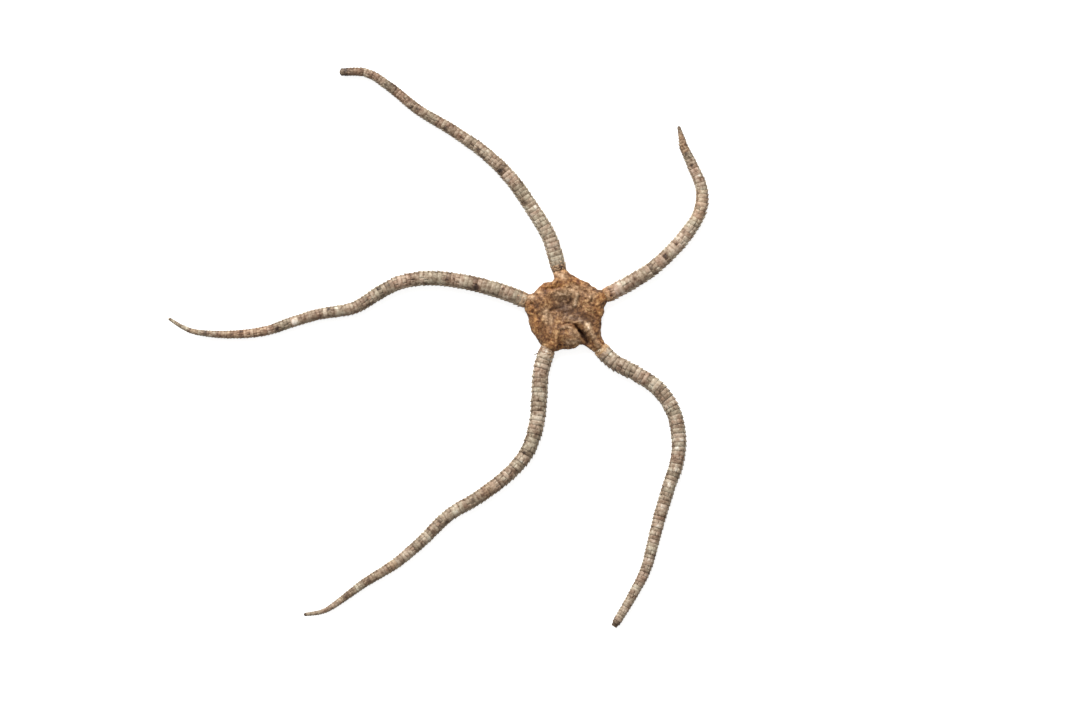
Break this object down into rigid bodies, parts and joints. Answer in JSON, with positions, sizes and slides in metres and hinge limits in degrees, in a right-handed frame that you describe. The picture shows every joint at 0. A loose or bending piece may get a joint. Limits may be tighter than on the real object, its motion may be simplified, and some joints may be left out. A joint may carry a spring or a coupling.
{
  "type": "dried brittle star",
  "caption": "Flat-lying dried brittle star: a round granular disc with long, gently curved, jointed arms that taper to fine or broken tips.",
  "frame": {"origin": "under the middle of the star's bounding box, on the surface that it lies on", "axes": "+Z up, out of the star's upper side; seen from above, +X points right and +Y points up, as in the picture"},
  "size_m": [0.1382, 0.1436, 0.0053],
  "materials": {
    "dried_disc_skin": "matte brown dried skin set with fine limy granules",
    "calcite_arm_plates": "dull beige-grey calcite plates with darker bands and spots"
  },
  "bodies": {
    "root": {"disc": "dried_disc_skin", "arm_upper_right": "calcite_arm_plates", "arm_upper_left": "calcite_arm_plates", "arm_left": "calcite_arm_plates", "arm_lower_left": "calcite_arm_plates", "arm_lower_right": "calcite_arm_plates"}
  },
  "joints": []
}
